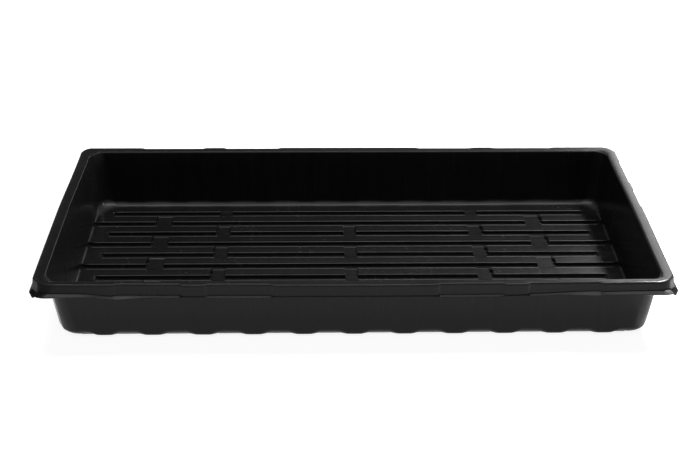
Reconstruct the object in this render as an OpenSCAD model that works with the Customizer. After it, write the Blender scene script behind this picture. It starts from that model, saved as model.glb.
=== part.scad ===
// Seedling tray without drain holes, formed from one sheet of black plastic.
// The sheet is drawn as its formed regions, which meet face to face along the bends.
// The long sides run along X, Z is up, and the tray stands on the ribs under its floor grooves.

/* [Tray] */
// Height from the underside of the floor ribs to the top of the rim
tray_height = 62.5; // [54:0.5:75]
// Thickness of the plastic sheet
sheet = 1.2; // [0.8:0.1:1.6]
// Angle that the walls lean out from upright
wall_draft = 6.7; // [4:0.1:8]

/* [Rim] */
// Length of the rim, over the outer edges of its flat top
rim_length = 543; // [480:1:640]
// Width of the rim, over the outer edges of its flat top
rim_width = 282; // [245:1:340]
// Width of the rim's flat top
land_width = 10; // [8.6:0.1:11]
// Outer corner radius of the rim's flat top
corner_r = 23.5; // [21.5:0.5:30]
// Outer radius of the two bends along the flat top
rim_bend_r = 2.2; // [1.8:0.1:2.6]
// Drop from the flat top to the top of the lip
skirt_drop = 9.5; // [8:0.5:16]
// How far the skirt leans out over its drop
skirt_flare = 0.9; // [0.2:0.1:2]
// Width of the lip past a proud length of skirt
lip_width = 1.9; // [1.5:0.1:4]
// Outer radius of the bend from skirt to lip
lip_bend_r = 0.8; // [0.4:0.1:1.2]

/* [Proud and set-back lengths of the rim] */
// How far a set-back length of rim stands behind a proud one
rim_step = 1.4; // [0.6:0.1:2]
// Half of the proud length in the middle of a long side
middle_half = 70; // [40:1:90]
// Distance from the middle of a long side to its short proud length
key_from = 125; // [110:1:135]
// Length of that short proud length
key_length = 21; // [12:1:30]
// Proud length at each end of a long side, from the corner of the flat top's outline
corner_proud = 67; // [40:1:80]
// Distance behind the middle of the right side at which its set-back lengths start
right_from = 6; // [3:1:12]
// Length of each of the two set-back lengths of the right side
right_set_back = 36; // [20:1:36]
// Proud length between those two
right_key_length = 17; // [10:1:17]

/* [Feet along the long sides] */
// Spacing of the feet
foot_pitch = 43.4; // [36:0.2:54]
// Length of each foot
foot_length = 16; // [10:1:24]
// Inside radius of the bend from wall to floor at a foot
foot_bend_r = 2.8; // [1.5:0.1:4]
// Inside radius of that bend between the feet, at the ends and round the corners
arch_bend_r = 7.3; // [4.5:0.1:7.3]

/* [Floor grooves] */
// Spacing of the grooves across the floor
groove_pitch = 22; // [18:0.5:28]
// Width of a groove at the floor's top
groove_width = 7.3; // [6:0.1:9]
// Depth of a groove
groove_depth = 3.5; // [2:0.1:5]
// Angle that the sides of a groove lean from upright
groove_lean = 12; // [0:1:18]
// Least distance from the middle of the outer groove to the edge of the flat floor
groove_margin = 5.4; // [5.4:0.1:12]
// Distance of the middle groove from the middle of the tray, towards the front
groove_shift = 2; // [0:0.1:2.3]

/* [Bridges across the grooves] */
// Spacing of the bridges along a short groove
bridge_pitch = 124; // [90:1:150]
// Length of a bridge in a short groove
bridge_length = 13; // [8:1:20]
// Distance from the middle to the two bridges of a long groove
far_bridge = 184.5; // [120:0.5:190]
// Length of a bridge in a long groove
far_bridge_length = 16; // [8:1:20]
// Distance of a short groove's end from the end of the flat floor
short_end_gap = 10; // [4:0.5:20]
// Distance of a long groove's end from the end of the flat floor
long_end_gap = 2.7; // [2.2:0.1:6]

/* [Hidden] */
black_plastic = [0.06, 0.06, 0.065];
arc_steps = 8;
// Straight sheet left between a bend and the end of its region
least_flat = 0.2;
// Height by which a groove's cut passes the top of the floor
cut_over = 1;

half_x = rim_length / 2;
half_y = rim_width / 2;
flat_x = half_x - corner_r;
flat_y = half_y - corner_r;
floor_z = groove_depth + sheet;
lip_z = tray_height - skirt_drop;

// The sheet's upper face in section: distance out from the flat top's outer edge, and height
wall_turn = 90 - wall_draft;
skirt_turn = 90 - atan(skirt_flare / skirt_drop);
floor_edge = [-corner_r, floor_z];
wall_foot = [-land_width - (tray_height - floor_z) * tan(wall_draft), floor_z];
land_inner = [-land_width, tray_height];
wall_way = unit(land_inner - wall_foot);
skirt_way = unit([skirt_flare, -skirt_drop]);
lip_edge = [skirt_flare + lip_width, lip_z];

// The larger bend is kept within the floor's room round the corners
arch_room = corner_r + wall_foot[0] - least_flat;
arch_r = min(arch_bend_r, arch_room / tan(wall_turn / 2));
foot_r = min(foot_bend_r, arch_r);
wall_start = wall_foot + wall_way * (arch_r * tan(wall_turn / 2) + least_flat);
wall_end = land_inner - wall_way * (rim_bend_r * tan(wall_turn / 2) + least_flat);
skirt_top_run = rim_bend_r * tan(skirt_turn / 2) + least_flat;

function unit(v) = v / norm(v);
function right_of(v) = [v[1], -v[0]];
function reversed(list) = [for (i = [len(list) - 1 : -1 : 0]) list[i]];

// Signed turn at corner b of the path a, b, c, positive to the left
function turn_at(a, b, c) = atan2(cross(b - a, c - b), (b - a) * (c - b));

// Points of the arc of radius r that rounds corner b
function arc_at(a, b, c, r) =
    let (
        turn = turn_at(a, b, c),
        way = unit(b - a),
        start = b - way * r * tan(abs(turn) / 2),
        centre = start - sign(turn) * r * right_of(way),
        first = atan2(start[1] - centre[1], start[0] - centre[0])
    )
    [for (k = [0 : arc_steps]) let (at = first + turn * k / arc_steps) centre + r * [cos(at), sin(at)]];

// A path with its inner corners rounded by the radii in r
function rounded(path, r) =
    let (last = len(path) - 1)
    [for (i = [0 : last])
        each i == 0 || i == last ? [path[i]] : arc_at(path[i - 1], path[i], path[i + 1], r[i - 1])];

// The path moved to its right by the sheet's thickness
function underside(path) =
    let (
        last = len(path) - 1,
        off = [for (i = [0 : last - 1]) right_of(unit(path[i + 1] - path[i]))]
    )
    [for (i = [0 : last])
        i == 0 ? path[0] + sheet * off[0]
        : i == last ? path[last] + sheet * off[last - 1]
        : path[i] + sheet * (off[i - 1] + off[i]) / (1 + off[i - 1] * off[i])];

// Radii of the moved path's corners
function underside_r(path, r) =
    [for (i = [1 : 1 : len(path) - 2]) r[i - 1] + sheet * sign(turn_at(path[i - 1], path[i], path[i + 1]))];

// Outline between one path's upper face and another path's underside
function between(upper, upper_r, lower, lower_r) =
    concat(rounded(upper, upper_r), reversed(rounded(underside(lower), underside_r(lower, lower_r))));
function section(path, r) = between(path, r, path, r);

// Paths of the regions, for a rim set back by a step
base_path = [floor_edge, wall_foot, wall_start];
wall_path = [wall_start, wall_end];
corner_path = [floor_edge, wall_foot, wall_end];
function land_outer(step) = [-step, tray_height];
function skirt_top(step) = land_outer(step) + skirt_way * skirt_top_run;
function skirt_foot(step) = [skirt_flare - step, lip_z];
function rim_path(step) = [wall_end, land_inner, land_outer(step), skirt_top(step)];
function skirt_path(step) = [skirt_top(step), skirt_foot(step), lip_edge];
rim_corner_path = [wall_end, land_inner, land_outer(0), skirt_foot(0), lip_edge];
rim_radii = [rim_bend_r, rim_bend_r];
rim_corner_radii = [rim_bend_r, rim_bend_r, lip_bend_r];

// Proud lengths along a side, from end to end
long_spans = [
    [-flat_x, corner_proud - half_x],
    [-key_from - key_length, -key_from],
    [-middle_half, middle_half],
    [key_from, key_from + key_length],
    [half_x - corner_proud, flat_x]
];
right_key_from = right_from + right_set_back;
right_key_to = right_key_from + right_key_length;
right_spans = [
    [-flat_y, -right_key_to - right_set_back],
    [-right_key_to, -right_key_from],
    [-right_from, flat_y]
];
left_spans = [[-flat_y, flat_y]];
feet_each_way = floor((flat_x - foot_length) / foot_pitch);
foot_spans = [for (i = [-feet_each_way : feet_each_way]) let (at = i * foot_pitch)
    [at - foot_length / 2, at + foot_length / 2]];

// Grooves: the middle one is long, and long and short ones take turns from there
rows_each_way = floor((flat_y - groove_shift - groove_margin) / groove_pitch);
long_half = flat_x - long_end_gap;
short_half = flat_x - short_end_gap;
function is_long(row) = abs(row) % 2 == 0;
function bridges(row) =
    is_long(row) ? [-far_bridge, far_bridge]
    : abs(row) == rows_each_way ? [-bridge_pitch, bridge_pitch]
    : [-bridge_pitch, 0, bridge_pitch];

// Lengths of groove that the bridges leave
function groove_spans(row) =
    let (
        half = is_long(row) ? long_half : short_half,
        gap = (is_long(row) ? far_bridge_length : bridge_length) / 2,
        stops = concat([-half - gap], bridges(row), [half + gap])
    )
    [for (i = [0 : len(stops) - 2]) [stops[i] + gap, stops[i + 1] - gap]];
function groove_half(z) = groove_width / 2 - (floor_z - z) * tan(groove_lean);

// A section drawn out along a side, from one distance to another
module along(from, to) {
    translate([from, 0, 0]) rotate([90, 0, 90]) linear_extrude(to - from) children();
}

// A side whose outward way is turned from +Y
module side(turn, half) {
    rotate([0, 0, turn]) translate([0, half, 0]) children();
}
module front_side() {
    side(180, half_y) children();
}
module back_side() {
    side(0, half_y) children();
}
module left_side() {
    side(90, half_x) children();
}
module right_side() {
    side(270, half_x) children();
}

// A side with proud lengths, each closed by a web where it stands out from a plain length
// The plain lengths run on through the webs, so that all are one sheet
module stepped_run(spans, half, proud, plain, web) {
    for (span = spans) {
        along(span[0], span[1]) polygon(proud);
        if (span[0] > -half) along(span[0], span[0] + sheet) polygon(web);
        if (span[1] < half) along(span[1] - sheet, span[1]) polygon(web);
    }
    for (i = [0 : len(spans)]) {
        from = i == 0 ? -half : spans[i - 1][1];
        to = i == len(spans) ? half : spans[i][0];
        if (to > from) along(max(from - sheet, -half), min(to + sheet, half)) polygon(plain);
    }
}

module base_run() {
    stepped_run(
        foot_spans, flat_x,
        section(base_path, [foot_r]),
        section(base_path, [arch_r]),
        between(base_path, [arch_r], base_path, [foot_r])
    );
}

module rim_run(spans, half) {
    stepped_run(
        spans, half,
        section(rim_path(0), rim_radii),
        section(rim_path(rim_step), rim_radii),
        between(rim_path(0), rim_radii, rim_path(rim_step), rim_radii)
    );
}

module skirt_run(spans, half) {
    stepped_run(
        spans, half,
        section(skirt_path(0), [lip_bend_r]),
        section(skirt_path(rim_step), [lip_bend_r]),
        between(skirt_path(0), [lip_bend_r], skirt_path(rim_step), [lip_bend_r])
    );
}

module wall_run(half) {
    along(-half, half) polygon(section(wall_path, []));
}

// A quarter turn of a section about the upright line where the flat floor's edges meet
module corner_turn(x_way, y_way, turn, outline) {
    translate([x_way * flat_x, y_way * flat_y, 0])
        rotate([0, 0, turn])
            rotate_extrude(angle = 90, $fn = 96)
                translate([corner_r, 0])
                    polygon(outline);
}
module wall_corner(x_way, y_way, turn) {
    corner_turn(x_way, y_way, turn, section(corner_path, [arch_r]));
}
module rim_corner(x_way, y_way, turn) {
    corner_turn(x_way, y_way, turn, section(rim_corner_path, rim_corner_radii));
}

// The rib that hangs under a length of groove
module groove_rib(span) {
    wall_out = sheet / cos(groove_lean);
    top = groove_depth + sheet / 2;
    foot = groove_half(0) + wall_out;
    head = groove_half(top) + wall_out;
    along(span[0] - sheet, span[1] + sheet) polygon([[-foot, 0], [foot, 0], [head, top], [-head, top]]);
}

// The hollow of a length of groove
module groove_hollow(span) {
    top = floor_z + cut_over;
    foot = groove_half(sheet);
    head = groove_half(top);
    along(span[0], span[1]) polygon([[-foot, sheet], [foot, sheet], [head, top], [-head, top]]);
}

module floor_panel() {
    color(black_plastic) difference() {
        union() {
            translate([-flat_x, -flat_y, groove_depth]) cube([2 * flat_x, 2 * flat_y, sheet]);
            for (row = [-rows_each_way : rows_each_way], span = groove_spans(row))
                translate([0, row * groove_pitch - groove_shift, 0]) groove_rib(span);
        }
        for (row = [-rows_each_way : rows_each_way], span = groove_spans(row))
            translate([0, row * groove_pitch - groove_shift, 0]) groove_hollow(span);
    }
}

module front_wall() {
    color(black_plastic) front_side() wall_run(flat_x);
}
module back_wall() {
    color(black_plastic) back_side() wall_run(flat_x);
}
module left_wall() {
    color(black_plastic) left_side() wall_run(flat_y);
}
module right_wall() {
    color(black_plastic) right_side() wall_run(flat_y);
}

module front_base_edge() {
    color(black_plastic) front_side() base_run();
}
module back_base_edge() {
    color(black_plastic) back_side() base_run();
}
module left_base_edge() {
    color(black_plastic) left_side() along(-flat_y, flat_y) polygon(section(base_path, [arch_r]));
}
module right_base_edge() {
    color(black_plastic) right_side() along(-flat_y, flat_y) polygon(section(base_path, [arch_r]));
}

module front_left_corner() {
    color(black_plastic) wall_corner(-1, -1, 180);
}
module front_right_corner() {
    color(black_plastic) wall_corner(1, -1, 270);
}
module back_left_corner() {
    color(black_plastic) wall_corner(-1, 1, 90);
}
module back_right_corner() {
    color(black_plastic) wall_corner(1, 1, 0);
}

module front_rim() {
    color(black_plastic) front_side() rim_run(long_spans, flat_x);
}
module back_rim() {
    color(black_plastic) back_side() rim_run(long_spans, flat_x);
}
module left_rim() {
    color(black_plastic) left_side() rim_run(left_spans, flat_y);
}
module right_rim() {
    color(black_plastic) right_side() rim_run(right_spans, flat_y);
}

module front_skirt() {
    color(black_plastic) front_side() skirt_run(long_spans, flat_x);
}
module back_skirt() {
    color(black_plastic) back_side() skirt_run(long_spans, flat_x);
}
module left_skirt() {
    color(black_plastic) left_side() skirt_run(left_spans, flat_y);
}
module right_skirt() {
    color(black_plastic) right_side() skirt_run(right_spans, flat_y);
}

module front_left_rim_corner() {
    color(black_plastic) rim_corner(-1, -1, 180);
}
module front_right_rim_corner() {
    color(black_plastic) rim_corner(1, -1, 270);
}
module back_left_rim_corner() {
    color(black_plastic) rim_corner(-1, 1, 90);
}
module back_right_rim_corner() {
    color(black_plastic) rim_corner(1, 1, 0);
}

floor_panel();
front_wall();
back_wall();
left_wall();
right_wall();
front_base_edge();
back_base_edge();
left_base_edge();
right_base_edge();
front_left_corner();
front_right_corner();
back_left_corner();
back_right_corner();
front_rim();
back_rim();
left_rim();
right_rim();
front_skirt();
back_skirt();
left_skirt();
right_skirt();
front_left_rim_corner();
front_right_rim_corner();
back_left_rim_corner();
back_right_rim_corner();
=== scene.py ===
import math
import bpy
import numpy as np
from mathutils import Matrix, Vector


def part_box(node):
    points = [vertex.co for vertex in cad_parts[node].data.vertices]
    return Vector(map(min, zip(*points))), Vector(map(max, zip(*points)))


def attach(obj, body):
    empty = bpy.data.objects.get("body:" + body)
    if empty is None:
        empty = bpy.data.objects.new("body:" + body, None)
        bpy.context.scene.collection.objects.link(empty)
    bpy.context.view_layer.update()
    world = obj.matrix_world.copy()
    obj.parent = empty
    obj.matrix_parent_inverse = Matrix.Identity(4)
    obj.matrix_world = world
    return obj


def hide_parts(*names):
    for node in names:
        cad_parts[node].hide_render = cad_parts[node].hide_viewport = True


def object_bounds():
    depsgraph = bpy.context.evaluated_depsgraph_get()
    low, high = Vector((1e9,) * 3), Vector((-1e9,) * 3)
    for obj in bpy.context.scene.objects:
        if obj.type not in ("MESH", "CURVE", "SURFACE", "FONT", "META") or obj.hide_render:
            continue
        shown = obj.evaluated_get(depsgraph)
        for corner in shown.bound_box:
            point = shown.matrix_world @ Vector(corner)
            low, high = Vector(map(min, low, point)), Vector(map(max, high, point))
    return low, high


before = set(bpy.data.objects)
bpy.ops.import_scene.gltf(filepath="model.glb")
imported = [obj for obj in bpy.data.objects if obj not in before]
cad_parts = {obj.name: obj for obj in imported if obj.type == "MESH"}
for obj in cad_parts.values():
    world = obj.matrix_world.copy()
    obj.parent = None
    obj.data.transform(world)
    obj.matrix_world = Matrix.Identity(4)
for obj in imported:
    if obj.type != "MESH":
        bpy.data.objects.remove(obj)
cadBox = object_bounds()
mm = 0.001  # shapes are worked out in millimetres and put into the mesh in metres
print("frame loaded:", len(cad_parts), "regions of one sheet")

# The tray's sheet, in millimetres and degrees. A pair is left and right, unless its note says otherwise.
# A mark counts the bends of the section: 1 wall foot, 2 and 3 the rim's edges, 4 the lip
sheet = {
    # Walls and the flat top of the rim
    "thickness": 1.2,
    "draft": 6.7,               # lean of the walls
    "landWidth": 10.0,          # flat top of the rim
    "landBend": 1.8,            # rounding of both edges of the flat top
    "backBend": 1.3,            # rounding of the back rim's outer edge
    "leftBend": 0.7,            # and of the left rim's inner edge
    "frontOuter": (-2.2, 2.6),  # shift of the front rim's outer edge at its ends, and bow at mid-length
    "frontInner": (0.8, 1.5),   # the same for its inner edge
    "backOuter": (1.9, 0.1),
    "backInner": (1.4, 0.0),
    "backFoot": (3.7, 1.2),     # shift of the back wall's foot, and what the right part adds to it
    "backFootFrom": (110.0, 200.0),  # where that starts and is complete
    "endBow": (0.4, 0.3),
    "frontTaper": (0.0, 0.7),   # inward lean of the end rims towards the front
    "backTaper": (1.5, 0.3),    # and towards the back
    # Skirt, with proud and set-back lengths
    "skirtFlare": 0.9,
    "backFlare": 0.05,
    "setBack": 1.8,             # step between proud and set-back lengths of the long sides
    "rightSetBack": 0.8,
    "setBackRun": 3.4,
    "frontProud": ((-300, -200), (-146, -125), (-70, 70), (125, 146), (204, 300)),
    "backProud": ((-300, -204), (-146, -125), (-70, 70), (125, 146), (204, 300)),
    "rightProud": ((-200, 6), (42, 59), (95, 200)),
    # Lip
    "lipWidth": 1.9,            # at the corners and ends
    "longLip": 0.6,             # along the long sides, past the proud lengths
    "lipEnds": (170.0, 210.0),  # where the lip of a long side starts to widen, and has its full width
    "lipLow": 0.5,              # how far the lip hangs below its nominal height
    "lipSlope": 0.45,           # fall of the lip towards its edge, per width
    "lipBend": 0.9,
    "lipEdge": 0.35,            # rounding of the trimmed edge
    "lipWaves": (               # lifts: side, from, to, height, lengths over which it rises and falls
        ("front", -255.0, -210.0, 2.2, 40.0, 16.0),
        ("front", 180.0, 254.0, 2.5, 100.0, 16.0),
        ("back", -250.0, -206.0, 1.2, 30.0, 30.0),
        ("back", 200.0, 245.0, 1.2, 40.0, 30.0),
        ("left", -90.0, -60.0, 1.5, 26.0, 26.0),
        ("right", 56.0, 84.0, 1.6, 26.0, 26.0),
    ),
    # Feet, and the inside radius of the bend from floor to wall
    "footPitch": 43.4,
    "feetEachWay": 5,
    "footLength": 19.5,
    "footRun": 10.0,            # length over which a foot eases into the arch beside it
    "footBend": 2.8,            # at a foot
    "frontArch": 7.9,           # between the feet
    "backBase": 5.0,            # both of these along the back
    "backArch": 6.0,
    "endBend": 2.2,             # at the ends
    "endArch": (3.0, 3.5),      # and there beside the short grooves
    "endArchHalf": 5.0,
    "endArchRun": 9.0,
    "frontCorner": (5.5, 5.5),
    "backCorner": (9.0, 7.5),
    "cornerShare": 1.5,         # how soon a corner's bend takes over from the sides
    # Corner radii in plan
    "planFloor": 10.0,          # floor grid
    "planFoot": (20.0, 18.0),   # wall foot
    "planWall": (18.5, 15.0),
    "planWallMarks": (1.4, 1.65),  # stretch of the wall that has the radius of the wall
    "planTop": 10.0,            # middle of the rim's inner bend
    "planInner": (6.0, 8.5),    # rim inside, then outside at the front and at the back
    "planFront": (18.0, 14.5),
    "planBack": (12.0, 15.0),
    "planLip": (15.0, 12.5),
    "cornerStretch": 40.0,      # length beside a corner over which the columns are drawn out to meet it
    # Grooves of the floor: short ones in odd rows, long ones that reach the end walls between them
    "pitch": 22.0,
    "shift": -2.2,              # place of the middle groove
    "rowsEachWay": 5,
    "depth": 3.5,
    "frontDepth": 2.0,          # the row along the front wall is shallower
    "halfFoot": 4.1,            # half of a groove's width at its bottom
    "slopeRun": 0.2,            # width of its steep side
    "edgeBend": 0.5,            # rounding of the strip's edge above it
    "floorMargin": 0.1,         # from the outermost groove to the edge of the floor grid
    "shortEnd": 240.0,          # where a short groove has faded out
    "shortRun": 4.5,
    "endDepth": 0.85,           # share of its depth that a long groove keeps at the wall
    "endRun": 12.0,
    "flare": 4.0,               # corner radius of the strips where a long groove meets the wall
    "grooveFade": (0.9, 1.25),  # marks between which a long groove fades out on the wall's bend
    "rise": (0.0, 2.6),         # height of the floor past the short grooves, at the end walls
    "riseRun": 14.0,
    "riseCurved": 0.3,          # share of the rise that is curved
    "riseHalf": 2.5,            # half width of the rise along the wall, and the run to each side of it
    "riseEase": 13.0,
    # Sunk bridges that cross the grooves
    "shortBridges": (-124.0, 0.0, 124.0),
    "outerBridges": (-124.0, 124.0),  # those of the first and last rows
    "longBridges": (-184.5, 184.5),
    "shortHalf": 6.1,           # half length of a bridge
    "longHalf": 7.5,
    "bridgeRun": 0.24,
    "slotWidth": (1.9, 2.7),    # slot along a bridge's outer side
    "slotLength": 13.0,
    "slotDepth": 3.5,
    "slotEndRun": 0.4,
    "sinkNear": 1.7,            # depth of a bridge at its groove
    "sinkFar": 1.3,             # at the far edge of the strip behind
    "sinkFront": 0.3,           # and on the strip in front of the groove
    # Painted highlight along edges, and rub on the ribs' underside, which the finish turns into a paler
    # colour
    "frontSheen": 1.5,            # painted highlight on the strips' edges in front of a groove
    "frontSheenFrom": 0.1,        # its start past the steep side, and its reach past the rounding
    "frontSheenWidth": 1.5,
    "backSheen": 1.5,             # the same behind a groove
    "backSheenFrom": 0.2,
    "backSheenWidth": 0.6,
    "sheenDepth": 2.2,            # a groove has to be deeper than this for its edges to get the painted highlight
    "bridgeLoss": 0.8,          # share of the painted highlight that bridges lose
    "ribRub": 0.6,              # underside of the ribs
    "rimSheen": (0.2, 0.7),       # painted highlight on the inner and outer edge of the rim's flat top
    "rimSheenFall": 3.0,          # fall of that painted highlight per mark
    "landSheen": 0.04,            # painted sheen on the flat itself
    "bendSheen": 1.8,             # painted highlight along the foot of the back wall
    "bendSheenFall": 5.0,
    "endSheenShare": (0.6, 0.35),  # share of that painted highlight at the strips' ends
    # Mesh: rows across each bend and on the straights between, then lines from the place each one marks
    "arcRows": (6, 4, 4, 3),
    "straightRows": (1, 2, 1, 1, 0),
    "footLines": (-13.0, -9.7, -6.3, -3.0, 3.0, 6.3, 9.7, 13.0, 21.7),
    "stepLines": (-1.3, -0.45, 0.45, 1.3),
    "endStepLines": (-1.1, 0.0, 1.1),
    "bridgeLines": (-0.3, -0.12, 0.12, 0.3),
    "slotEndLines": (-0.2, 0.2, 0.4),
    "fadeLines": (0.0, 1.5, 3.0, 4.5),
    "cornerLinesX": (1.0, 0.45, 0.2),  # shares of the floor grid's corner radius
    "cornerLinesY": (1.0, 0.8),
    "edgeLine": 0.3,            # share of the rounding of a strip's edge
    "bottomLine": 0.5,          # from the back side of a groove, on its bottom
    "footClear": 1.6,           # a foot's line nearer than this to another is left out
    "stepClear": 0.35,          # and so is an end step's
    "closestLines": 0.15,
    "widestLines": 9.0,
}

thickness = sheet["thickness"]
lipOut = sheet["skirtFlare"] + sheet["lipWidth"]
halfSize = np.array(cadBox[1][:2]) / mm - lipOut  # to the outer edges of the rim's flat top
topZ = cadBox[1].z / mm
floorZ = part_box("floor_panel")[1].z / mm
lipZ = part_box("front_skirt")[0].z / mm + thickness
wallLean = math.tan(math.radians(sheet["draft"]))
wallFoot = -sheet["landWidth"] - (topZ - floorZ) * wallLean
rowNumbers = range(-sheet["rowsEachWay"], sheet["rowsEachWay"] + 1)
rowsY = sheet["pitch"] * np.array(rowNumbers) + sheet["shift"]
shortRowsY = [at for row, at in zip(rowNumbers, rowsY) if row % 2]
slopeFoot = sheet["halfFoot"]
slopeKnee = slopeFoot + sheet["slopeRun"]
slopeTop = slopeKnee + sheet["edgeBend"]
# The floor grid ends just past the outermost groove, the same distance from the wall all round
floorEdge = max(-rowsY[0], rowsY[-1]) + slopeTop + sheet["floorMargin"] - halfSize[1]
flatSize = halfSize + floorEdge
cornerFrom = flatSize - sheet["planFloor"]
halfArc = 0.25  # a bend reaches this far in marks to each side of its middle
midTurn = math.pi / 4  # turn at which a corner passes from an end to a long side
endCosine = 0.999  # a column is on an end's straight where the cosine of its turn is more


# Smooth step: three t squared less two t cubed, held at 0 and 1
def ease(t):
    t = np.clip(t, 0.0, 1.0)
    return t * t * (3.0 - 2.0 * t)


# 1 within the spans, with a smooth step over a run centred on each of their ends
def inSpans(a, spans, run):
    return sum(ease((a - low) / run + 0.5) * ease((high - a) / run + 0.5) for low, high in spans)


# The right one of a pair where x is positive, else the left one
def sidePair(x, pair):
    return np.where(x > 0, pair[1], pair[0])


# Each vector over its own length
def unit(v):
    return v / np.linalg.norm(v, axis=-1, keepdims=True)


# Each vector turned a quarter to the right: its second part, then its first with the sign changed
def rightOf(v):
    return np.stack([v[..., 1], -v[..., 0]], -1)


# Depth across a groove: flat bottom, steep side, then a quarter circle up to the strip
def grooveSide(away):
    bend = sheet["edgeBend"]
    steep = np.interp(away, (slopeFoot, slopeKnee), (sheet["depth"], bend))
    rounded = bend - np.sqrt(bend ** 2 - np.clip(slopeTop - away, 0.0, bend) ** 2)
    return np.where(away < slopeKnee, steep, rounded)


# Depth of one row below the strips: the groove's section times the share of it left beside the bridges
# and at its ends, or a bridge's sunk top, or the slot along a bridge, whichever is deepest
def rowDepth(row, x, y):
    isLong = row % 2 == 0
    isFront = row == rowNumbers[0]
    isBack = row == rowNumbers[-1]
    behind = y - row * sheet["pitch"] - sheet["shift"]
    kind = "long" if isLong else "outer" if isFront or isBack else "short"
    bridges = sheet[kind + "Bridges"]
    half = sheet["longHalf"] if isLong else sheet["shortHalf"]
    offBridge = np.min([np.abs(x - at) for at in bridges], axis=0)
    gap = ease((offBridge - half) / sheet["bridgeRun"] + 0.5)
    if isLong:
        toWall = halfSize[0] + wallFoot - np.abs(x)
        ends = 1.0 - (1.0 - sheet["endDepth"]) * ease(1.0 - toWall / sheet["endRun"])
    else:
        ends = ease((sheet["shortEnd"] - np.abs(x)) / sheet["shortRun"])
    if isFront:
        ends = ends * sheet["frontDepth"] / sheet["depth"]
    farEdge = min(sheet["pitch"] - slopeTop, flatSize[1] - row * sheet["pitch"] - sheet["shift"])
    farSink = 0.0 if isBack else sheet["sinkFar"]
    farPlaces = (farEdge, farEdge + sheet["slopeRun"])
    places = (slopeTop - sheet["pitch"], -slopeTop, -slopeFoot, slopeTop, *farPlaces)
    sinks = (0.0, sheet["sinkFront"], sheet["sinkNear"], sheet["sinkNear"], farSink, 0.0)
    bridge = np.interp(behind, places, sinks) * (1.0 - gap)
    width = sidePair(x, sheet["slotWidth"])
    outside = [np.sign(at) * (x - at) - half for at in bridges if at]
    slot = sheet["slotDepth"] * sum(inSpans(side, ((0.0, width),), sheet["bridgeRun"]) for side in outside)
    slot = slot * inSpans(behind, ((0.0, sheet["slotLength"]),), sheet["slotEndRun"]) * (not isBack)
    return np.max([grooveSide(np.abs(behind)) * gap * ends, bridge, slot], axis=0)


# Depth of the floor below its strips: that of the deepest row at each place
def floorDepth(x, y):
    return np.max([rowDepth(row, x, y) for row in rowNumbers], axis=0)


# Rise of the floor past the short grooves: a parabola that runs on as a straight to the end wall,
# with a smooth step to each side of the row
def endRise(x, y):
    curved = sheet["riseCurved"]
    spans = [(at - sheet["riseHalf"], at + sheet["riseHalf"]) for at in shortRowsY]
    t = np.clip((np.abs(x) - halfSize[0] - wallFoot) / sheet["riseRun"] + 1.0, 0.0, 1.0)
    ramp = np.where(t < curved, t * t / (2 * curved), t - curved / 2) / (1.0 - curved / 2)
    return sidePair(x, sheet["rise"]) * ramp * inSpans(y, spans, sheet["riseEase"])


# Share of a shift that keeps step with the grooves, straight between knots: 1 away from the groove
# on its sides, 0 in its middle and halfway to the next
def rowShift(y, onlyLong):
    knots = [-flatSize[1]]
    shares = [0.0]
    for row, at in zip(rowNumbers, rowsY):
        size = 0.0 if onlyLong and row % 2 else 1.0
        knots += [at - slopeTop, at - slopeFoot, at, at + slopeFoot, at + slopeTop]
        shares += [-size, -size, 0.0, size, size]
        if row < rowNumbers[-1]:
            knots.append(at + sheet["pitch"] / 2)
            shares.append(0.0)
    return np.interp(y, knots + [flatSize[1]], shares + [0.0])


# Rows across the sheet for each column: a path with its corners rounded to arcs and its straights divided,
# and the mark of each row. The underside's path lies one thickness to the right, with the arcs' radii
# grown or shrunk to match
def profileRows(path, radii, under):
    last = path.shape[1] - 1
    ways = unit(np.diff(path, axis=1))
    before, after = ways[:, :-1], ways[:, 1:]
    turned = before[..., 0] * after[..., 1] - before[..., 1] * after[..., 0]
    turns = np.arctan2(turned, (before * after).sum(-1))
    if under:
        off = rightOf(ways)
        mitre = (off[:, :-1] + off[:, 1:]) / (1 + (off[:, :-1] * off[:, 1:]).sum(-1, keepdims=True))
        path = path + thickness * np.concatenate([off[:, :1], mitre, off[:, -1:]], 1)
        radii = radii + thickness * np.sign(turns)
    rows = [path[:, :1]]
    marks = [np.zeros(1)]

    # Even steps from the last row towards a target, which is left to the rows that follow
    def straight(target, count, mark):
        share = np.arange(1, count + 1) / (count + 1)
        start = rows[-1][:, -1:]
        rows.append(start + (target[:, None] - start) * share[:, None])
        marks.append(marks[-1][-1] + (mark - marks[-1][-1]) * share)

    for k in range(1, last):
        arcRows = sheet["arcRows"][k - 1]
        radius, turn, way = radii[:, k - 1, None], turns[:, k - 1, None], ways[:, k - 1]
        start = path[:, k] - way * radius * np.tan(np.abs(turn) / 2)
        straight(start, sheet["straightRows"][k - 1], k - halfArc)
        angle = (np.abs(turn) * np.linspace(0, 1, arcRows))[..., None]
        inward = (-np.sign(turn) * rightOf(way))[:, None]
        arc = inward * (1 - np.cos(angle)) + way[:, None] * np.sin(angle)
        rows.append(start[:, None] + radius[..., None] * arc)
        marks.append(np.linspace(k - halfArc, k + halfArc, arcRows))
    straight(path[:, -1], sheet["straightRows"][-1], last)
    edge = sheet["lipEdge"]
    rows += [path[:, -1:], path[:, -1:] + np.array([edge, edge if under else -edge])]
    marks.append(np.array([last, last + halfArc]))
    return np.concatenate(rows, 1), np.concatenate(marks)


# Turn of each place about the nearest corner of the floor grid, 0 along the ends and 90 degrees along
# the long sides, and its share of the way out: squares round the corner become quarter circles
def cornerTurn(x, y):
    radius = sheet["planFloor"]
    u, v = (np.clip((np.abs(a) - start) / radius, 0.0, 1.0) for a, start in zip((x, y), cornerFrom))
    most = np.maximum(np.maximum(u, v), 1e-9)  # it divides, so it is never 0
    return np.where(u >= v, midTurn * v / most, math.pi / 2 - midTurn * u / most), most


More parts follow.
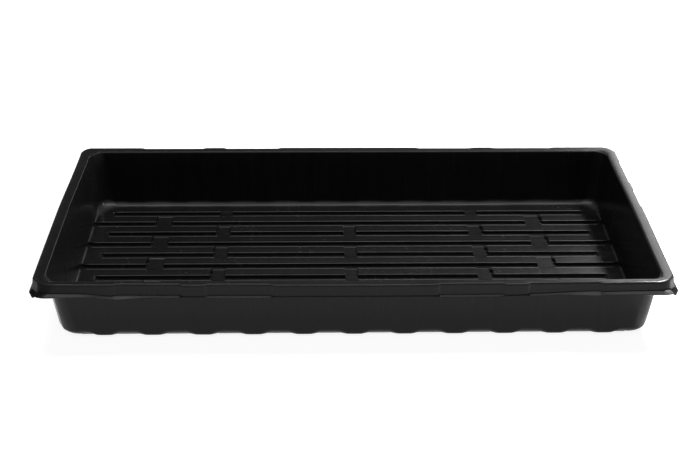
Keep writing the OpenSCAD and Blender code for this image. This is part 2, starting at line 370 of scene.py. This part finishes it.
# Outward shift of the rim's inner or outer edge: a parabola along each side, with the ends leaning inward
# by a smooth step, mixed round the corners by the turn's cosine and sine
def rimShift(x, y, turn, edge):
    midX, midY = (np.clip(1.0 - (a / limit) ** 2, 0.0, 1.0) for a, limit in zip((x, y), cornerFrom))
    front, back = (sheet[side + edge][0] + sheet[side + edge][1] * midX for side in ("front", "back"))
    taper = np.where(y < 0, sidePair(x, sheet["frontTaper"]), sidePair(x, sheet["backTaper"]))
    end = sidePair(x, sheet["endBow"]) * midY - taper * ease(np.abs(y) / cornerFrom[1])
    return end * np.cos(turn) + np.where(y < 0, front, back) * np.sin(turn)


# Inside radius of the bend at the foot of the wall: smooth steps between feet and arches, and beside
# the short grooves at the ends, then to the corner's own radius by the sine of twice the turn
def baseBend(x, y, turn):
    half = sheet["footLength"] / 2
    middles = [sheet["footPitch"] * i for i in range(-sheet["feetEachWay"], sheet["feetEachWay"] + 1)]
    foot = np.where(y < 0, sheet["footBend"], sheet["backBase"])
    arch = np.where(y < 0, sheet["frontArch"], sheet["backArch"])
    feet = [(at - half, at + half) for at in middles]
    alongLong = arch + (foot - arch) * inSpans(x, feet, sheet["footRun"])
    spans = [(at - sheet["endArchHalf"], at + sheet["endArchHalf"]) for at in shortRowsY]
    wider = sidePair(x, sheet["endArch"]) - sheet["endBend"]
    alongEnd = sheet["endBend"] + wider * inSpans(y, spans, sheet["endArchRun"])
    side = np.where(turn <= midTurn, alongEnd, alongLong)
    corner = np.where(y < 0, sidePair(x, sheet["frontCorner"]), sidePair(x, sheet["backCorner"]))
    return side + (corner - side) * ease(sheet["cornerShare"] * np.sin(2 * turn))


# Reach of the lip: full at the ends and corners, and a set width past the skirt along the long sides,
# with a smooth step between them
def lipReach(x, turn, skirt):
    full = lipOut - sheet["lipEdge"]
    low, high = sheet["lipEnds"]
    along = np.where(turn <= midTurn, 0.0, ease((high - np.abs(x)) / (high - low)))
    return full + (np.minimum(skirt + sheet["longLip"], full) - full) * along


# Lift of the lip: the sum of the side's waves, each a smooth step up and another down
def lipLift(x, y, turn):
    onEnd = turn <= midTurn
    onSide = {
        "front": ~onEnd & (y < 0),
        "back": ~onEnd & (y >= 0),
        "left": onEnd & (x < 0),
        "right": onEnd & (x > 0),
    }
    lift = 0.0 * x
    for side, low, high, height, rise, fall in sheet["lipWaves"]:
        place = x if side in ("front", "back") else y
        wave = ease((place - low) / rise + 0.5) * ease((high - place) / fall + 0.5)
        lift = lift + onSide[side] * height * wave
    return lift


# Values of every column round the floor grid. What the back alone has comes in by the sine of the turn,
# and what the left end alone has by its cosine
def ringColumns(x, y):
    turn = cornerTurn(x, y)[0]
    atBack = np.sin(turn) * (y >= 0)
    atLeft = np.cos(turn) * (x < 0)
    run = sheet["setBackRun"]
    proud = np.where(y < 0, inSpans(x, sheet["frontProud"], run), inSpans(x, sheet["backProud"], run))
    rightStep = sheet["rightSetBack"] * (1.0 - inSpans(y, sheet["rightProud"], run)) * (x > 0)
    step = np.where(turn <= midTurn, rightStep, sheet["setBack"] * (1.0 - proud))
    outer = rimShift(x, y, turn, "Outer")
    flare = sheet["skirtFlare"] + (sheet["backFlare"] - sheet["skirtFlare"]) * atBack
    low, high = sheet["backFootFrom"]
    backFoot = sheet["backFoot"][0] + sheet["backFoot"][1] * ease((x - low) / (high - low))
    return {
        "x": x,
        "y": y,
        "turn": turn,
        "foot": wallFoot + backFoot * atBack,
        "inner": rimShift(x, y, turn, "Inner"),
        "outer": outer - step,
        "flare": flare,
        "lip": lipReach(x, turn, outer + flare),
        "lift": lipLift(x, y, turn),
        "base": baseBend(x, y, turn),
        "innerBend": sheet["landBend"] + (sheet["leftBend"] - sheet["landBend"]) * atLeft,
        "outerBend": sheet["landBend"] + (sheet["backBend"] - sheet["landBend"]) * atBack,
    }


# Section of the sheet at each column, straight from corner to corner: floor edge, wall foot,
# the rim's inner and outer edge, skirt foot, lip edge. The radii are those of the four corners between
def sectionPath(columns):
    one = np.ones(len(columns["x"]))
    skirtFoot = columns["outer"] + columns["flare"]
    lipHeight = lipZ - sheet["lipLow"] + columns["lift"]
    points = (
        (floorEdge * one, floorZ * one),
        (columns["foot"], floorZ * one),
        (columns["inner"] - sheet["landWidth"], topZ * one),
        (columns["outer"], topZ * one),
        (skirtFoot, lipHeight),
        (columns["lip"], lipHeight - sheet["lipSlope"] * (columns["lip"] - skirtFoot)),
    )
    radii = (columns["base"], columns["innerBend"], columns["outerBend"], sheet["lipBend"] * one)
    return np.stack([np.stack(p, -1) for p in points], 1), np.stack(radii, 1)


# Corner radius in plan of each row: given at the floor, foot, wall, rim and lip, and straight between
def planRadii(columns, marks):
    x = columns["x"]
    rimFrom = 2 + halfArc
    places = (0, 1, *sheet["planWallMarks"], 2, rimFrom)
    pairs = zip(sheet["planFoot"], sheet["planWall"], sheet["planInner"])
    walls = [
        np.interp(marks, places, (sheet["planFloor"], foot, wall, wall, sheet["planTop"], inner))
        for foot, wall, inner in pairs]
    inside = sidePair(x, sheet["planInner"])[:, None]
    front, back = sidePair(x, sheet["planFront"]), sidePair(x, sheet["planBack"])
    outside = np.where(columns["y"] < 0, front, back)[:, None]
    lip = sidePair(x, sheet["planLip"])[:, None]
    onRim = np.clip((marks - rimFrom) / (1 - 2 * halfArc), 0.0, 1.0)
    onSkirt = np.clip(marks - rimFrom - 1, 0.0, 1.0)
    return sidePair(x[:, None], walls) + (outside - inside) * onRim + (lip - outside) * onSkirt


# Places of the ring: straight along the sides, and by the turn's cosine and sine about the corners,
# whose plan radius is set row by row
def ringPoints(columns, under):
    drop = thickness if under else 0.0
    path, radii = sectionPath(columns)
    rows, marks = profileRows(path, radii, under)
    topOut = (profileRows(path, radii, False)[0] if under else rows)[..., 0]
    out, z = rows[..., 0], rows[..., 1]
    plan = planRadii(columns, marks) + out - topOut
    turn = columns["turn"][:, None]
    points = np.zeros(out.shape + (3,))
    for axis, nominal, wave in ((0, columns["x"], np.cos(turn)), (1, columns["y"], np.sin(turn))):
        reach = cornerFrom[axis]
        easeFrom = reach - sheet["cornerStretch"]
        along = np.minimum(np.abs(nominal), reach)[:, None]
        stretch = (halfSize[axis] + out - plan - easeFrom) / (reach - easeFrom)
        place = np.minimum(along, easeFrom) + np.maximum(along - easeFrom, 0.0) * stretch
        points[..., axis] = np.sign(nominal)[:, None] * (place + plan * wave)
    # Grooves run on to the end walls, with the strips' corners rounded off to circles beside them
    fadeFrom, fadeTo = sheet["grooveFade"]
    onEnd = np.cos(turn) > endCosine
    onFloor = np.clip((fadeTo - marks) / (fadeTo - fadeFrom), 0.0, 1.0) * onEnd
    y = columns["y"][:, None]
    toFoot = halfSize[0] + wallFoot
    flare = sheet["flare"]
    flareIn = np.clip(halfSize[0] + topOut - (toFoot - flare), 0.0, flare)
    widen = flare - np.sqrt(flare ** 2 - flareIn ** 2)
    points[..., 1] += (widen * rowShift(y, True) + drop * rowShift(y, False)) * onFloor
    # Past the wall's foot the floor keeps the height that it has there
    x = np.sign(columns["x"])[:, None] * np.minimum(halfSize[0] + topOut, toFoot)
    onLong = np.abs(columns["x"])[:, None] < cornerFrom[0]
    rise = endRise(np.where(onLong, 0.0, x), y)
    lift = np.clip(floorZ - drop + rise - z, 0.0, rise)
    points[..., 2] = z - floorDepth(x, y) * onFloor + lift
    return points, marks


# Grid lines from places along a side: near ones are dropped and wide gaps divided evenly
def gridLines(places, end):
    kept = [-end]
    for place in sorted(places):
        if min(place - kept[-1], end - place) >= sheet["closestLines"]:
            kept.append(place)
    kept.append(end)
    counts = [math.ceil((b - a) / sheet["widestLines"]) for a, b in zip(kept, kept[1:])]
    parts = [np.linspace(a, b, count + 1)[:-1] for a, b, count in zip(kept, kept[1:], counts)]
    return np.append(np.concatenate(parts), end)


# Lines of the floor grid: each place where the sheet bends, steps or ends, plus the offsets listed for it
def floorLines():
    footReach = sheet["feetEachWay"] + 1
    middles = [sheet["footPitch"] * i for i in range(-footReach, footReach + 1)]
    feet = [at + off for at in middles for off in sheet["footLines"] if abs(at + off) < flatSize[0]]
    stepEnds = [at for name in ("frontProud", "backProud") for span in sheet[name] for at in span]
    steps = [at + off for at in stepEnds for off in sheet["stepLines"]]
    bridges = [(at, sheet[kind + "Half"]) for kind in ("short", "long") for at in sheet[kind + "Bridges"]]
    sides = [at + way * half for at, half in bridges for way in (-1, 1)]
    sides += [at + np.sign(at) * (half + sidePair(at, sheet["slotWidth"])) for at, half in bridges if at]
    edges = [at + off for at in sides for off in sheet["bridgeLines"]]
    ends = [sheet["shortEnd"] - off for off in sheet["fadeLines"]]
    ends += [flatSize[0] - share * sheet["planFloor"] for share in sheet["cornerLinesX"]]
    first = [p for p in steps + edges + ends + [-p for p in ends] if abs(p) < flatSize[0]]
    spare = [p for p in feet if min(abs(p - q) for q in first) > sheet["footClear"]]
    xLines = gridLines(first + spare, flatSize[0])
    slopes = (slopeFoot, slopeKnee, slopeKnee + sheet["edgeLine"] * sheet["edgeBend"], slopeTop)
    across = [way * off for way in (-1, 1) for off in slopes]
    across += [slopeFoot - sheet["bottomLine"]]
    across += [-slopeTop - sheet["frontSheenWidth"], slopeTop + sheet["backSheenWidth"]]
    grooves = [at + off for at in rowsY for off in across]
    grooves += [at + sheet["slotLength"] + off for at in rowsY[:-1] for off in sheet["slotEndLines"]]
    steps = [at + off for span in sheet["rightProud"] for at in span for off in sheet["endStepLines"]]
    ends = [flatSize[1] - share * sheet["planFloor"] for share in sheet["cornerLinesY"]]
    inside = [p for p in steps + ends + [-p for p in ends] if abs(p) < flatSize[1]]
    spare = [p for p in inside if min(abs(p - q) for q in grooves) > sheet["stepClear"]]
    return xLines, gridLines(grooves + spare, flatSize[1])


# Painted highlight on the floor: straight ramps across the strips' edges beside the grooves, less of it on
# the bridges, and on the underside rub, a ramp that is full on the ribs
def floorSheenAndRub(x, y, under):
    nearest = rowsY[np.argmin(np.abs(y[..., None] - rowsY), axis=-1)]
    across = y - nearest
    if under:
        return np.interp(np.abs(across), (slopeFoot, slopeTop), (sheet["ribRub"], 0.0))
    frontStart = -slopeKnee - sheet["frontSheenFrom"]
    frontPlaces = (-slopeTop - sheet["frontSheenWidth"], -slopeTop, frontStart, -slopeKnee)
    backPlaces = (slopeKnee, slopeKnee + sheet["backSheenFrom"], slopeTop + sheet["backSheenWidth"])
    levels = (0.0, sheet["frontSheen"], sheet["frontSheen"], 0.0, 0.0, sheet["backSheen"], 0.0)
    deep = ease(floorDepth(x, nearest) - sheet["sheenDepth"])
    sheenAndRub = np.interp(across, frontPlaces + backPlaces, levels) * deep
    onBridge = ease(floorDepth(x, nearest - sheet["pitch"] / 2)) * (across < 0)
    return sheenAndRub * (1.0 - sheet["bridgeLoss"] * onBridge)


# Painted highlight on the ring: straight peaks over the marks of the rim's edges and of the wall's foot,
# the latter only along the back and the ends, where no groove runs on, plus a faint painted sheen on the
# rim's flat top
def ringSheen(x, y, marks):
    rim = [level * np.clip(1.0 - sheet["rimSheenFall"] * np.abs(marks - k), 0.0, 1.0)
           for k, level in zip((2, 3), sheet["rimSheen"])]
    land = sheet["landSheen"] * (np.abs(marks - 2.5) <= 0.5 - halfArc)
    turn = cornerTurn(x, y)[0]
    endShare = sidePair(x, sheet["endSheenShare"]) * np.cos(turn) * (1.0 - ease(floorDepth(x, y)))
    share = np.maximum(np.sin(turn) * (y > 0), endShare)
    peak = sheet["bendSheen"] * np.clip(1.0 - sheet["bendSheenFall"] * np.abs(marks - 1.0), 0.0, 1.0)
    return np.maximum(np.max(rim + [land], axis=0), np.outer(share, peak))


# One face of the sheet: the floor grid less its depth, with its corners drawn in to arcs, then the ring,
# whose inner row is the grid's edge
def sheetFace(xLines, yLines, under, first):
    drop = thickness if under else 0.0
    x, y = np.meshgrid(xLines, yLines, indexing="ij")
    turn, most = cornerTurn(x, y)
    plan = sheet["planFloor"] * most
    gridX, gridY = (
        np.sign(a) * (np.minimum(np.abs(a), start) + plan * wave * (np.abs(a) > start))
        for a, start, wave in zip((x, y), cornerFrom, (np.cos(turn), np.sin(turn))))
    gridY = gridY + drop * rowShift(y, False)
    grid = np.stack([gridX, gridY, floorZ - drop - floorDepth(x, y) + endRise(x, y)], -1)
    number = np.arange(x.size).reshape(x.shape)
    edge = np.concatenate([number[-1, :-1], number[:0:-1, -1], number[0, :0:-1], number[:-1, 0]])
    edgeX, edgeY = x.ravel()[edge], y.ravel()[edge]
    ring, marks = ringPoints(ringColumns(edgeX, edgeY), under)
    points = np.concatenate([grid.reshape(-1, 3), ring[:, 1:].reshape(-1, 3)])
    rest = number.size + np.arange(ring[:, 1:, 0].size).reshape(len(ring), -1)
    ringNumber = np.concatenate([edge[:, None], rest], 1)
    ahead = np.roll(ringNumber, -1, 0)
    gridCells = (number[:-1, :-1], number[1:, :-1], number[1:, 1:], number[:-1, 1:])
    ringCells = (ringNumber[:, :-1], ringNumber[:, 1:], ahead[:, 1:], ahead[:, :-1])
    quads = np.concatenate([np.stack(cells, -1).reshape(-1, 4) for cells in (gridCells, ringCells)])
    if under:
        quads = quads[:, ::-1]
    # Painted highlight along the edges, and rub under the ribs, at each point
    sheenAndRub = np.concatenate([floorSheenAndRub(x, y, under).ravel(), ringSheen(edgeX, edgeY, marks[1:]).ravel()])
    return points, quads + first, ringNumber[:, -1] + first, sheenAndRub


# Area-weighted normals, so that flat stretches stay flat beside their bends: at each point the sum
# of the cross products of its faces' diagonals
def sheetNormals(points, quads):
    corners = points[quads]
    faceNormals = np.cross(corners[:, 2] - corners[:, 0], corners[:, 3] - corners[:, 1])
    normals = np.zeros_like(points)
    np.add.at(normals, quads.ravel(), np.repeat(faceNormals, 4, axis=0))
    return unit(normals)


# The closed sheet: its upper face and underside, joined along the trimmed edge of the lip,
# with nothing below the plane that the ribs stand on
def buildTray():
    xLines, yLines = floorLines()
    upper, upperQuads, upperLip, upperSheen = sheetFace(xLines, yLines, False, 0)
    lower, lowerQuads, lowerLip, lowerSheenAndRub = sheetFace(xLines, yLines, True, len(upper))
    points = np.concatenate([upper, lower])
    points[:, 2] = np.maximum(points[:, 2], 0.0)
    lipQuads = np.stack([upperLip, lowerLip, np.roll(lowerLip, -1), np.roll(upperLip, -1)], -1)
    quads = np.concatenate([upperQuads, lowerQuads, lipQuads])
    mesh = bpy.data.meshes.new("traySheet")
    mesh.from_pydata(points * mm, [], quads.tolist())
    mesh.update()
    mesh.shade_smooth()
    # Painted highlights along edges, and rub on the ribs' underside, kept as a point attribute
    sheenAndRub = mesh.attributes.new("sheenAndRub", "FLOAT", "POINT")
    sheenAndRub.data.foreach_set("value", np.concatenate([upperSheen, lowerSheenAndRub]))
    mesh.normals_split_custom_set_from_vertices(sheetNormals(points, quads).tolist())
    tray = bpy.data.objects.new("traySheet", mesh)
    bpy.context.scene.collection.objects.link(tray)
    print("tray sheet:", len(xLines), "by", len(yLines), "floor lines,", 2 * len(quads), "triangles")
    return tray


# A socket in an expression: each operator adds a Math node
class Wire:
    def __init__(self, socket):
        self.socket = socket

    # One Math node, with a link or a value for each of its two inputs
    def maths(self, operation, first, second):
        node = self.socket.id_data.nodes.new("ShaderNodeMath")
        node.operation = operation
        for slot, value in zip(node.inputs, (first, second)):
            if isinstance(value, Wire):
                self.socket.id_data.links.new(value.socket, slot)
            else:
                slot.default_value = value
        return Wire(node.outputs[0])

    def __add__(self, other):
        return self.maths("ADD", self, other)

    def __radd__(self, other):
        return self.maths("ADD", other, self)

    def __sub__(self, other):
        return self.maths("SUBTRACT", self, other)

    def __rsub__(self, other):
        return self.maths("SUBTRACT", other, self)

    def __mul__(self, other):
        return self.maths("MULTIPLY", self, other)

    def __rmul__(self, other):
        return self.maths("MULTIPLY", other, self)


# A node tree that starts empty
class NodeBoard:
    def __init__(self, tree):
        self.tree = tree
        tree.nodes.clear()

    # A node of a type, its settings first, then the values or links of its sockets
    def add(self, kind, settings=None, inputs=None, output=0):
        node = self.tree.nodes.new(kind)
        for name, value in (settings or {}).items():
            setattr(node, name, value)
        for name, value in (inputs or {}).items():
            if isinstance(value, Wire):
                self.tree.links.new(value.socket, node.inputs[name])
            else:
                node.inputs[name].default_value = value
        return Wire(node.outputs[output]) if len(node.outputs) else node

    # Shares of the camera, glossy and transmission rays: 1 for a ray of that kind, else 0
    def rayKinds(self):
        names = ("Is Camera Ray", "Is Glossy Ray", "Is Transmission Ray")
        return [self.add("ShaderNodeLightPath", output=name) for name in names]


# Finish of the plastic: its colours, its noises, and what each noise adds to the paler mix, of wear,
# random tone and painted highlight, and to the roughness
plasticLook = {
    "black": (0.0054, 0.0054, 0.0056, 1),
    # Paler colour that the edges' painted highlights, the ribs' rub and random tone mix towards
    "wornAndSheen": (0.065, 0.065, 0.066, 1),
    "roughness": 0.25,
    "specular": 0.175,
    "cloud": {"Scale": 22.0, "Detail": 4.0, "Roughness": 0.6},
    "grain": {"Scale": 1500.0, "Detail": 2.0},
    "streak": {"Scale": 170.0, "Detail": 3.0},
    "streakStretch": (1.0, 1.0, 0.06),
    "sheenAndRubShare": (0.35, 0.5),  # paler mix for each unit of painted highlight or rub, and what the cloud adds to it
    "cloudWear": 0.06,
    "streakWear": 0.1,
    "cloudRough": 0.1,
    "grainRough": 0.05,
    "streakRough": 0.08,
    "bump": {"Strength": 0.08, "Distance": 0.0002},
}


# Black mixed with a paler colour by painted highlight and rub times cloud, plus a little cloud and streak
# as random tone.
# Roughness is a level plus shares of the noises, and the grain is also a fine bump
def blackPlastic():
    look = plasticLook
    material = bpy.data.materials.new("blackPlastic")
    material.use_nodes = True
    board = NodeBoard(material.node_tree)
    place = board.add("ShaderNodeTexCoord", output="Object")
    # Painted highlights along edges and rub on the ribs, from the mesh
    sheenAndRub = board.add("ShaderNodeAttribute", {"attribute_name": "sheenAndRub"}, output="Fac")
    cloud = board.add("ShaderNodeTexNoise", {}, {"Vector": place, **look["cloud"]})
    grain = board.add("ShaderNodeTexNoise", {}, {"Vector": place, **look["grain"]})
    # Faint upright streaks, as a sheet shows where it was drawn down into the mould
    stretch = {0: place, 1: look["streakStretch"]}
    drawn = board.add("ShaderNodeVectorMath", {"operation": "MULTIPLY"}, stretch)
    streak = board.add("ShaderNodeTexNoise", {}, {"Vector": drawn, **look["streak"]})
    even, clouded = look["sheenAndRubShare"]
    # Painted highlight along edges and rub on the ribs' underside, plus random cloud and streak tone
    wearAndSheen = sheenAndRub * (even + clouded * cloud) + look["cloudWear"] * cloud + look["streakWear"] * (streak - 0.5)
    colour = board.add(
        "ShaderNodeMix", {"data_type": "RGBA"}, {0: wearAndSheen, 6: look["black"], 7: look["wornAndSheen"]}, output=2)
    roughness = look["roughness"] + look["cloudRough"] * (cloud - 0.5)
    roughness = roughness + look["grainRough"] * (grain - 0.5) + look["streakRough"] * (streak - 0.5)
    bump = board.add("ShaderNodeBump", {}, {"Height": grain, **look["bump"]})
    shader = board.add("ShaderNodeBsdfPrincipled", {}, {
        "Base Color": colour,
        "Roughness": roughness,
        "Normal": bump,
        "Specular IOR Level": look["specular"],
    })
    board.add("ShaderNodeOutputMaterial", {}, {"Surface": shader})
    return material


tray = buildTray()
tray.data.materials.append(blackPlastic())
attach(tray, "root")
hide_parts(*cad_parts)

# Pale floor, in metres
stageValues = {
    "size": 12.0,
    "floor": 0.5,
    "glow": 0.9,
    "dimFrom": (-0.5, -0.25),  # reflections see the floor dimmer to the left of the tray
    "dimTo": 0.2,
}


# A square that takes the tray's shadow by its diffuse part. A glow is added for the camera and for
# reflections, where a straight ramp along X dims it
def buildFloor():
    half = stageValues["size"] / 2
    corners = [(-half, -half, 0), (half, -half, 0), (half, half, 0), (-half, half, 0)]
    mesh = bpy.data.meshes.new("studioFloor")
    mesh.from_pydata(corners, [], [(0, 1, 2, 3)])
    floor = bpy.data.objects.new("studioFloor", mesh)
    bpy.context.scene.collection.objects.link(floor)
    material = bpy.data.materials.new("paleFloor")
    material.use_nodes = True
    board = NodeBoard(material.node_tree)
    pale = stageValues["floor"]
    camera, glossy, through = board.rayKinds()
    place = board.add("ShaderNodeTexCoord", output="Object")
    across = board.add("ShaderNodeSeparateXYZ", {}, {0: place}, output="X")
    low, high = stageValues["dimFrom"]
    dimmed = board.add("ShaderNodeMapRange", {}, {
        "Value": across, "From Min": low, "From Max": high, "To Min": stageValues["dimTo"], "To Max": 1.0})
    strength = stageValues["glow"] * (camera + through + glossy * dimmed)
    diffuse = board.add("ShaderNodeBsdfDiffuse", {}, {"Color": (pale, pale, pale, 1)})
    glow = board.add("ShaderNodeEmission", {}, {"Color": (1, 1, 1, 1), "Strength": strength})
    both = board.add("ShaderNodeAddShader", {}, {0: diffuse, 1: glow})
    board.add("ShaderNodeOutputMaterial", {}, {"Surface": both})
    mesh.materials.append(material)
    print("floor laid")


# Studio light: a dim surround and soft panels, each with its place, target and size in metres,
# and its power in watts
lightValues = {
    "surround": 0.085,
    "sweepTop": (0.03, 0.09),  # height in a view direction at which the white sweep ends
    "panels": (
        ("rightPanel", (0.955, 2.07, 0.75), (0.0, 0.0, 0.0), (0.45, 1.0), 6.6),
        ("backPanel", (0.35, 2.0, 1.15), (0.0, 0.0, 0.0), (1.2, 1.1), 0.35),
        ("highPanel", (0.49, 0.3, 0.6), (0.69, 0.3, 0.0), (0.3, 0.085), 17.5),
        ("topPanel", (0.05, 0.14, 1.2), (0.05, 0.0, 0.0), (1.3, 0.35), 8.5),
        ("frontPanel", (-0.2, -1.6, 1.7), (0.0, 0.0, 0.0), (1.4, 0.8), 5.0),
    ),
}


# The world is white to the camera. Reflections see the white sweep up to a low height, by a straight ramp,
# and the dim surround above it. Each panel is turned from its place to its target
def buildLight():
    world = bpy.data.worlds.new("studio")
    bpy.context.scene.world = world
    world.use_nodes = True
    board = NodeBoard(world.node_tree)
    camera, glossy, through = board.rayKinds()
    way = board.add("ShaderNodeTexCoord", output="Generated")
    height = board.add("ShaderNodeSeparateXYZ", {}, {0: way}, output="Z")
    low, high = lightValues["sweepTop"]
    sweep = board.add("ShaderNodeMapRange", {}, {
        "Value": height, "From Min": low, "From Max": high, "To Min": 1.0, "To Max": 0.0})
    dim = lightValues["surround"]
    strength = dim + (1.0 - dim) * (camera + through + glossy * sweep)
    surround = board.add("ShaderNodeBackground", {}, {"Color": (1, 1, 1, 1), "Strength": strength})
    board.add("ShaderNodeOutputWorld", {}, {"Surface": surround})
    for name, place, target, size, power in lightValues["panels"]:
        lamp = bpy.data.lights.new(name, "AREA")
        lamp.shape = "RECTANGLE"
        lamp.size, lamp.size_y = size
        lamp.energy = power
        holder = bpy.data.objects.new(name, lamp)
        aim = (Vector(target) - Vector(place)).to_track_quat("-Z", "Y").to_matrix().to_4x4()
        holder.matrix_world = Matrix.Translation(place) @ aim
        holder.visible_camera = False
        bpy.context.scene.collection.objects.link(holder)
    print("lights set:", len(lightValues["panels"]), "panels")


# Camera at the photo's angle: place in metres, angles in degrees, sensor in millimetres
cameraValues = {
    "place": (-0.0301, -1.1261, 0.6230),
    "yaw": 1.463,
    "pitch": 27.459,
    "roll": 0.457,
    "focal": 1358.0,  # in pixels of the picture
    "pictureWidth": 700.0,
    "sensor": 36.0,
}


# Forward from the sines and cosines of yaw and pitch, right from a level line turned by the roll.
# The lens is to the sensor as the focal length is to the picture's width
def buildCamera():
    c = cameraValues
    yaw, pitch, roll = (math.radians(c[name]) for name in ("yaw", "pitch", "roll"))
    forward = np.array([
        math.sin(yaw) * math.cos(pitch),
        math.cos(yaw) * math.cos(pitch),
        -math.sin(pitch),
    ])
    level = np.array([math.cos(yaw), -math.sin(yaw), 0.0])
    right = math.cos(roll) * level + math.sin(roll) * np.cross(level, forward)
    data = bpy.data.cameras.new("camera")
    data.sensor_fit = "HORIZONTAL"
    data.sensor_width = c["sensor"]
    data.lens = c["focal"] / c["pictureWidth"] * c["sensor"]
    camera = bpy.data.objects.new("camera", data)
    turn = Matrix(np.stack([right, np.cross(right, forward), -forward], 1).tolist())
    camera.matrix_world = Matrix.Translation(c["place"]) @ turn.to_4x4()
    bpy.context.scene.collection.objects.link(camera)
    bpy.context.scene.camera = camera
    print("camera set, lens", round(data.lens, 2))


buildFloor()
buildLight()
buildCamera()
bpy.context.scene.view_settings.view_transform = "Standard"
